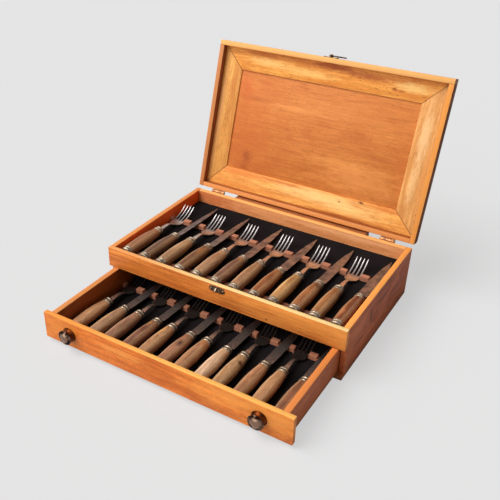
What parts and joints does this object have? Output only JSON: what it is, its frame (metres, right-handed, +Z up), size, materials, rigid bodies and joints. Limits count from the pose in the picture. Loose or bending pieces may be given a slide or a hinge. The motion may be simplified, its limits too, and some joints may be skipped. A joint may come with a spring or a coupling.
{
  "type": "cutlery box",
  "caption": "Wooden cutlery box with a hinged framed lid, a hook latch, a felt-lined tray and a drawer on two knobs, both racked with forks and steak knives.",
  "frame": {"origin": "middle of the case's underside, on the surface that the box stands on", "axes": "+X to the right and along the hinge line, +Z up, the drawer opens towards -Y and the hinges are on the +Y side"},
  "size_m": [0.4, 0.5089, 0.3356],
  "materials": {
    "case_wood": "stained and oiled pine, warm orange, fine straight grain",
    "lid_wood": "oiled pine with a mottled lighter figure",
    "panel_wood": "thin reddish veneer panel, satin oil",
    "rack_wood": "bare sawn hardwood",
    "felt": "matt black felt",
    "bronze": "antiqued brass, dark with rubbed edges",
    "steel": "satin ground stainless steel",
    "silver": "turned white metal with dull hollows",
    "grip_wood": "oiled hardwood grips, each piece its own tone"
  },
  "bodies": {
    "case": {"case_bottom": "case_wood", "case_left_side": "case_wood", "case_right_side": "case_wood", "case_back": "case_wood", "front_rail": "case_wood", "tray_floor": "case_wood", "tray_felt": "felt", "tray_blade_rack": "rack_wood", "tray_grip_rack": "rack_wood", "stop_batten": "case_wood", "catch_plate": "bronze", "case_hinges": "bronze", "case_nails": "bronze"},
    "lid": {"lid_front_rim": "lid_wood", "lid_back_rim": "lid_wood", "lid_left_rim": "lid_wood", "lid_right_rim": "lid_wood", "lid_frame_front": "lid_wood", "lid_frame_back": "lid_wood", "lid_frame_left": "lid_wood", "lid_frame_right": "lid_wood", "lid_panel": "panel_wood", "lid_hinges": "bronze", "latch_plate": "bronze", "lid_nails": "bronze"},
    "hook": {"latch_hook": "bronze"},
    "drawer": {"drawer_front": "case_wood", "drawer_left_side": "case_wood", "drawer_right_side": "case_wood", "drawer_back": "case_wood", "drawer_bottom": "case_wood", "drawer_felt": "felt", "drawer_blade_rack": "rack_wood", "drawer_grip_rack": "rack_wood", "drawer_knobs": "bronze", "knob_screws": "steel", "drawer_fork_1": "grip_wood", "drawer_fork_2": "grip_wood", "drawer_fork_3": "grip_wood", "drawer_fork_4": "grip_wood", "drawer_fork_5": "grip_wood", "drawer_fork_6": "grip_wood", "drawer_knife_1": "grip_wood", "drawer_knife_2": "grip_wood", "drawer_knife_3": "grip_wood", "drawer_knife_4": "grip_wood", "drawer_knife_5": "grip_wood", "drawer_knife_6": "grip_wood"},
    "loose_fork_1": {"tray_fork_1": "grip_wood"},
    "loose_fork_2": {"tray_fork_2": "grip_wood"},
    "loose_fork_3": {"tray_fork_3": "grip_wood"},
    "loose_fork_4": {"tray_fork_4": "grip_wood"},
    "loose_fork_5": {"tray_fork_5": "grip_wood"},
    "loose_fork_6": {"tray_fork_6": "grip_wood"},
    "loose_knife_1": {"tray_knife_1": "grip_wood"},
    "loose_knife_2": {"tray_knife_2": "grip_wood"},
    "loose_knife_3": {"tray_knife_3": "grip_wood"},
    "loose_knife_4": {"tray_knife_4": "grip_wood"},
    "loose_knife_5": {"tray_knife_5": "grip_wood"},
    "loose_knife_6": {"tray_knife_6": "grip_wood"}
  },
  "joints": [
    {"name": "lid_hinge", "type": "hinge", "parent": "case", "child": "lid", "pos_m": [0, 0.1308, 0.08365], "axis": [-1, 0, 0], "range_deg": [-106, 0]},
    {"name": "hook_swing", "type": "hinge", "parent": "lid", "child": "hook", "pos_m": [0, 0.21114, 0.3288], "axis": [0, 0.2756, 0.9613], "range_deg": [-66, 0]},
    {"name": "drawer_slide", "type": "slide", "parent": "case", "child": "drawer", "axis": [0, -1, 0], "range_m": [-0.148, 0.06]},
    {"name": "fork_1_lift", "type": "slide", "parent": "case", "child": "loose_fork_1", "axis": [0, 0, 1], "range_m": [0, 0.09]},
    {"name": "fork_2_lift", "type": "slide", "parent": "case", "child": "loose_fork_2", "axis": [0, 0, 1], "range_m": [0, 0.09]},
    {"name": "fork_3_lift", "type": "slide", "parent": "case", "child": "loose_fork_3", "axis": [0, 0, 1], "range_m": [0, 0.09]},
    {"name": "fork_4_lift", "type": "slide", "parent": "case", "child": "loose_fork_4", "axis": [0, 0, 1], "range_m": [0, 0.09]},
    {"name": "fork_5_lift", "type": "slide", "parent": "case", "child": "loose_fork_5", "axis": [0, 0, 1], "range_m": [0, 0.09]},
    {"name": "fork_6_lift", "type": "slide", "parent": "case", "child": "loose_fork_6", "axis": [0, 0, 1], "range_m": [0, 0.09]},
    {"name": "knife_1_lift", "type": "slide", "parent": "case", "child": "loose_knife_1", "axis": [0, 0, 1], "range_m": [0, 0.09]},
    {"name": "knife_2_lift", "type": "slide", "parent": "case", "child": "loose_knife_2", "axis": [0, 0, 1], "range_m": [0, 0.09]},
    {"name": "knife_3_lift", "type": "slide", "parent": "case", "child": "loose_knife_3", "axis": [0, 0, 1], "range_m": [0, 0.09]},
    {"name": "knife_4_lift", "type": "slide", "parent": "case", "child": "loose_knife_4", "axis": [0, 0, 1], "range_m": [0, 0.09]},
    {"name": "knife_5_lift", "type": "slide", "parent": "case", "child": "loose_knife_5", "axis": [0, 0, 1], "range_m": [0, 0.09]},
    {"name": "knife_6_lift", "type": "slide", "parent": "case", "child": "loose_knife_6", "axis": [0, 0, 1], "range_m": [0, 0.09]}
  ]
}
